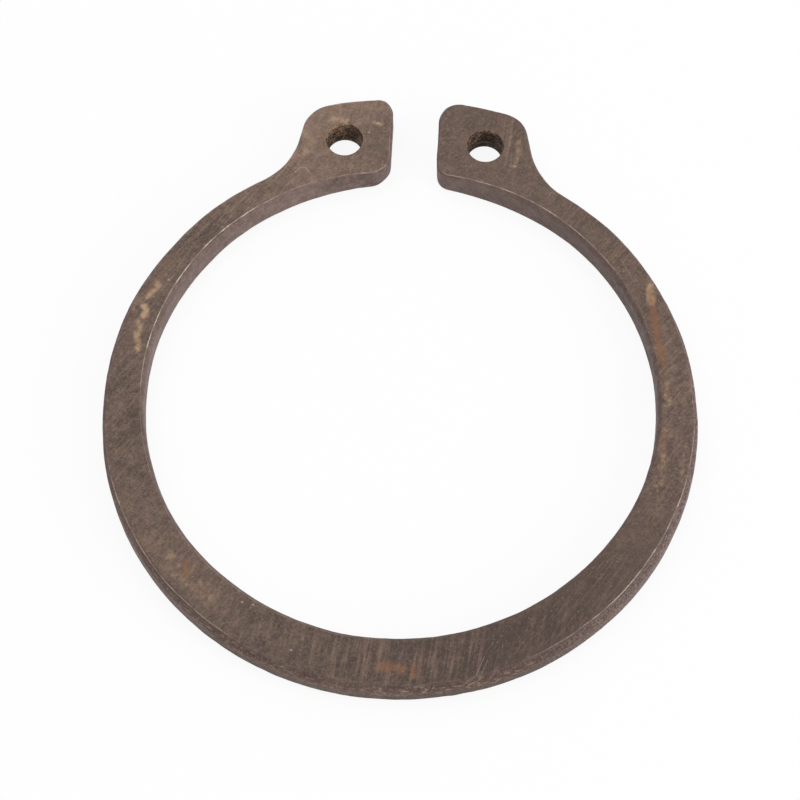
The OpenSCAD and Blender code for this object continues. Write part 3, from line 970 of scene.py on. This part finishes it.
def mix_colour(tree, mask, a, b, blend="MIX"):
    """Colour a where the mask is 0; where it is 1, colour b, or a times b with the blend MULTIPLY."""
    sockets = {"Factor": mask, "A": a, "B": b}
    return put(tree, "Mix", sockets, data_type="RGBA", blend_type=blend).outputs["Result"]


def use_group(tree, group, **inputs):
    """The outputs of a group that is put into a tree with these inputs."""
    node = tree.nodes.new("ShaderNodeGroup")
    node.node_tree = group
    return feed(tree, node, inputs).outputs


def stain(tree, place, name):
    """The broken-up mask of the stain that is kept on the points under a name."""
    amount = from_points(tree, name)
    return use_group(tree, stain_group, Vector=place, Amount=amount, Size=STAIN_MM[name])["Mask"]


# %% Tone, colour, bare metal and painted highlight of a finish
def tone_of(tree, place, values):
    """The tone from dark to light, 0 to 1: the browning's tone with its painted sheen and painted light, kept
    on the points, plus clouds, patches and grain, each less its middle value, plus grinding lines and grit,
    each times its weight. Returns the lines and the grain as well."""
    layers = use_group(tree, mottle_group, Vector=place, Coarse=PATCH_MM, Fine=values["fine"])
    upright = use_group(tree, lines_group, Vector=place, **UPRIGHT_LINES)["Lines"]
    slanted = use_group(tree, lines_group, Vector=place, **SLANTED_LINES)["Lines"]
    tone = scaled(tree, from_points(tree, "patina_and_light"), values["patina_and_light"])
    mottled = from_points(tree, "mottled")
    for label, middle in MIDDLES.items():
        swing = scaled(tree, math_node(tree, "SUBTRACT", layers[label], middle), mottled)
        tone = math_node(tree, "MULTIPLY_ADD", swing, values[label.lower()], tone)
    upright = scaled(tree, upright, from_points(tree, "grind"))
    strong = math_node(tree, "MULTIPLY_ADD", slanted, from_points(tree, "hatch"), upright)
    lines = math_node(tree, "MULTIPLY_ADD", slanted, LINES_EVERYWHERE, strong)
    tone = math_node(tree, "MULTIPLY_ADD", lines, values["lines"], tone)
    gritty = math_node(tree, "SUBTRACT", layers["Grain"], GRIT_MIDDLE)
    gritty = scaled(tree, gritty, from_points(tree, "grit"))
    return math_node(tree, "MULTIPLY_ADD", gritty, values["grit"], tone, clamp=True), lines, layers["Grain"]


def brown_of(tree, place, tone, speck, values):
    """The colour of the browning, with the painted sheen and painted light that its tone carries: the tone
    from dark to light, a hue that wanders towards plum, then stains, specks and flecks laid over one after
    the other, and the dark line of the rolled lip."""
    base = mix_colour(tree, tone, srgb(values["dark"]), srgb(values["light"]))
    hue = scaled(tree, use_group(tree, mottle_group, Vector=place, **HUE_SPOTS)["Patch"], values["plum"])
    base = mix_colour(tree, hue, base, PLUM_TINT, "MULTIPLY")
    flecks = use_group(tree, fleck_group, Vector=place, Amount=from_points(tree, "flecked"))["Mask"]
    for name, mask, strength in (
            ("smudge", stain(tree, place, "smudge"), SMUDGE_SHARE),
            ("tan", stain(tree, place, "tan"), values["tan"]),
            ("rust", stain(tree, place, "rust"), values["rust"]),
            ("pale speck", soft_range(tree, speck, low=0.6, high=0.75), PALE_SHARE),
            ("dark speck", soft_range(tree, speck, low=0.36, high=0.24), DARK_SHARE),
            ("fleck", flecks, FLECK_SHARE)):
        base = mix_colour(tree, scaled(tree, mask, strength), base, srgb(name))
    base = mix_colour(tree, from_points(tree, "browned"), base, BROWN_TINT, "MULTIPLY")
    from_lip = math_node(tree, "ABSOLUTE", math_node(tree, "SUBTRACT", from_points(tree, "arris"), LIP_IN))
    lip = use_group(tree, arris_group, Vector=place, Distance=from_lip, Shine=from_points(tree, "lip"),
                    Width=LIP_WIDTH)["Mask"]
    return mix_colour(tree, scaled(tree, lip, LIP_SHARE), base, srgb("lip"))


def bare_steel_and_highlight_of(tree, place, values):
    """The bright mask: bare metal in the scratches, and along the arris partly bare metal and partly a
    painted highlight. A scratch from a to b is given as a, b - a, and (b - a) / |b - a|^2, which turns a
    place into its share of the way along."""
    bright = use_group(tree, arris_group, Vector=place, Distance=from_points(tree, "arris"),
                       Shine=from_points(tree, "shine"), Width=BRIGHT_WIDTH)["Mask"]
    bright = scaled(tree, bright, values["shine"])
    for width, strength, corners in values["scratches"]:
        for start, end in zip(np.array(corners[:-1]), np.array(corners[1:])):
            span = end - start
            mask = use_group(tree, scratch_group, Vector=place, Start=(*start, 0), Reach=(*span, 0),
                             Along=(*(span / (span @ span)), 0), Width=SCRATCH_SPREAD * width)["Mask"]
            bright = math_node(tree, "MAXIMUM", bright, scaled(tree, mask, SCRATCH_SHINE * strength))
    return bright


# %% Build the finishes
def finish_material(name, values):
    """One finish of the browned steel: its colour, how metallic and rough it is, and its fine relief."""
    material = bpy.data.materials.new(name)
    material.use_nodes = True
    tree = material.node_tree
    shader = tree.nodes["Principled BSDF"]
    shader.inputs["Specular IOR Level"].default_value = SPECULAR
    place = object_mm(tree)
    tone, lines, grain = tone_of(tree, place, values)
    speck = noise(tree, place, **SPECKS)
    bright = bare_steel_and_highlight_of(tree, place, values)
    brown = brown_of(tree, place, tone, speck, values)
    rough = soft_range(tree, tone, low=0.0, high=1.0, to_low=values["roughness"] + DARK_DULLNESS,
                       to_high=values["roughness"] - LIGHT_GLOSS)
    relief = math_node(tree, "MULTIPLY_ADD", speck, SPECK_RELIEF, grain)
    relief = math_node(tree, "MULTIPLY_ADD", lines, LINE_RELIEF, relief)
    dent = put(tree, "Bump", {"Height": relief, "Strength": BUMP_STRENGTH, "Distance": values["bump"]})
    # The bright mask gives bare metal in the scratches and, along the arris, partly a painted highlight.
    feed(tree, shader, {
        "Base Color": mix_colour(tree, bright, brown, srgb("bare steel and highlight")),
        "Metallic": scaled(tree, bright, BARE_METAL),
        "Roughness": math_node(tree, "SUBTRACT", rough, scaled(tree, bright, BARE_GLOSS)),
        "Normal": dent.outputs["Normal"],
    })
    mesh.materials.append(material)


for name, values in FINISHES.items():
    finish_material(name, values)
print("finishes:", [m.name for m in mesh.materials])

# %% [markdown]
# The camera
# The view was worked out from the ellipses that the ring's circles make in the photograph: how flat they
# are gives the height of the camera, and how they shrink towards the far side gives its distance. Moving
# a camera by eye could come close, but two circles give the place to a fraction of a pixel.

# %% Camera
TURN_DEG, RISE_DEG, ROLL_DEG = 2.856, 64.2527, 0.1841
DISTANCE = 10.2124 * INNER_R
AIM = np.array([-0.0022 * INNER_R, 0.0375 * INNER_R, -THICK / 2])
LENS_MM, SENSOR_MM = 117.0, 36.0
NEAREST_SEEN = 0.005


def camera_frame(turn, rise, roll):
    """Unit vectors to the camera's right, up and back for a camera that stands turn degrees to the right
    of the -Y side and rise degrees up, and is then rolled about its own axis."""
    a, e, r = np.radians([turn, rise, roll])
    back = np.array([np.sin(a) * np.cos(e), -np.cos(a) * np.cos(e), np.sin(e)])
    level = np.array([np.cos(a), np.sin(a), 0.0])
    up = np.cross(back, level)
    return level * np.cos(r) + up * np.sin(r), up * np.cos(r) - level * np.sin(r), back


right, up, back = camera_frame(TURN_DEG, RISE_DEG, ROLL_DEG)
pose = np.eye(4)
pose[:3, :3] = np.stack([right, up, back], axis=1)
pose[:3, 3] = (AIM + back * DISTANCE) * MM
lens = bpy.data.cameras.new("camera")
lens.lens = LENS_MM
lens.sensor_width = lens.sensor_height = SENSOR_MM
lens.clip_start = NEAREST_SEEN
camera = link("camera", lens)
camera.matrix_world = Matrix(pose.tolist())
bpy.context.scene.camera = camera
print("camera at", np.round(pose[:3, 3], 4), "m")

# %% [markdown]
# Paper and studio
# The ring was photographed on white paper that is lit so evenly that it has no edge. A brighter lamp
# would turn paper white too, but it would wash out the steel. So the rays that show the background see
# plain white, and the rays that light the ring see a grey paper and a dim sky. A share of the paper's
# own shading is left in, and that keeps the ring's soft shadow.

# %% Floor and world
WHITE = (1, 1, 1, 1)
PAPER = (0.85, 0.85, 0.85, 1)
PAPER_WHITE_SHARE = 0.9
SKY_STRENGTH = 0.5
FLOOR_R = 3.0


def white_to_view(owner, lit, white, output, share):
    """Blends the shader that lights the ring with the white one by the share, and only for rays of the
    camera, of gloss and through glass."""
    owner.use_nodes = True
    tree = owner.node_tree
    tree.nodes.clear()
    path = put(tree, "LightPath").outputs
    seen = math_node(tree, "MAXIMUM", path["Is Camera Ray"], path["Is Glossy Ray"])
    seen = math_node(tree, "MAXIMUM", seen, path["Is Transmission Ray"])
    shaders = [put(tree, kind, inputs).outputs[0] for kind, inputs in (lit, white)]
    blend = put(tree, "MixShader", {"Fac": scaled(tree, seen, share), 1: shaders[0], 2: shaders[1]})
    put(tree, output, {"Surface": blend.outputs[0]})


def plain_disc(name, r, height, count=64):
    """A round sheet: points r (cos a, sin a) at one height."""
    a = np.linspace(0, 2 * np.pi, count, endpoint=False)
    points = np.stack([r * np.cos(a), r * np.sin(a), np.full(count, height)], axis=1)
    sheet = bpy.data.meshes.new(name)
    sheet.from_pydata(points, [], [list(range(count))])
    return link(name, sheet)


floor = plain_disc("floor", FLOOR_R, -THICK / 2 * MM)
paper = bpy.data.materials.new("white_paper")
diffuse = ("BsdfDiffuse", {"Color": PAPER})
glow = ("Emission", {"Color": WHITE, "Strength": 1.0})
white_to_view(paper, diffuse, glow, "OutputMaterial", PAPER_WHITE_SHARE)
floor.data.materials.append(paper)
world = bpy.data.worlds.new("studio")
sky = ("Background", {"Color": WHITE, "Strength": SKY_STRENGTH})
white_sky = ("Background", {"Color": WHITE, "Strength": 1.0})
white_to_view(world, sky, white_sky, "OutputWorld", share=1.0)
bpy.context.scene.world = world
print("floor", 2 * FLOOR_R, "m across, sky at", SKY_STRENGTH)

# %% [markdown]
# Lamps
# In the photograph the light is soft and comes from above and a little from the right, where the outer
# wall is lightest. Two large square lamps give that. A sun lamp would draw a hard shadow, and the photo
# has none.

# %% Lamps
def soft_lamp(name, place, size, power):
    """A square lamp, measured in metres and watts, that shines from its place towards the ring."""
    light = bpy.data.lights.new(name, "AREA")
    light.size = size
    light.energy = power
    turn = (-Vector(place)).to_track_quat("-Z", "Y")
    link(name, light).matrix_world = Matrix.Translation(place) @ turn.to_matrix().to_4x4()
    print(name, "lamp:", power, "W")


soft_lamp("overhead", place=(-0.2, 0.2, 0.6), size=0.7, power=2.4)
soft_lamp("right_side", place=(0.5, -0.2, 0.25), size=0.35, power=2.2)
bpy.context.scene.view_settings.view_transform = "Standard"
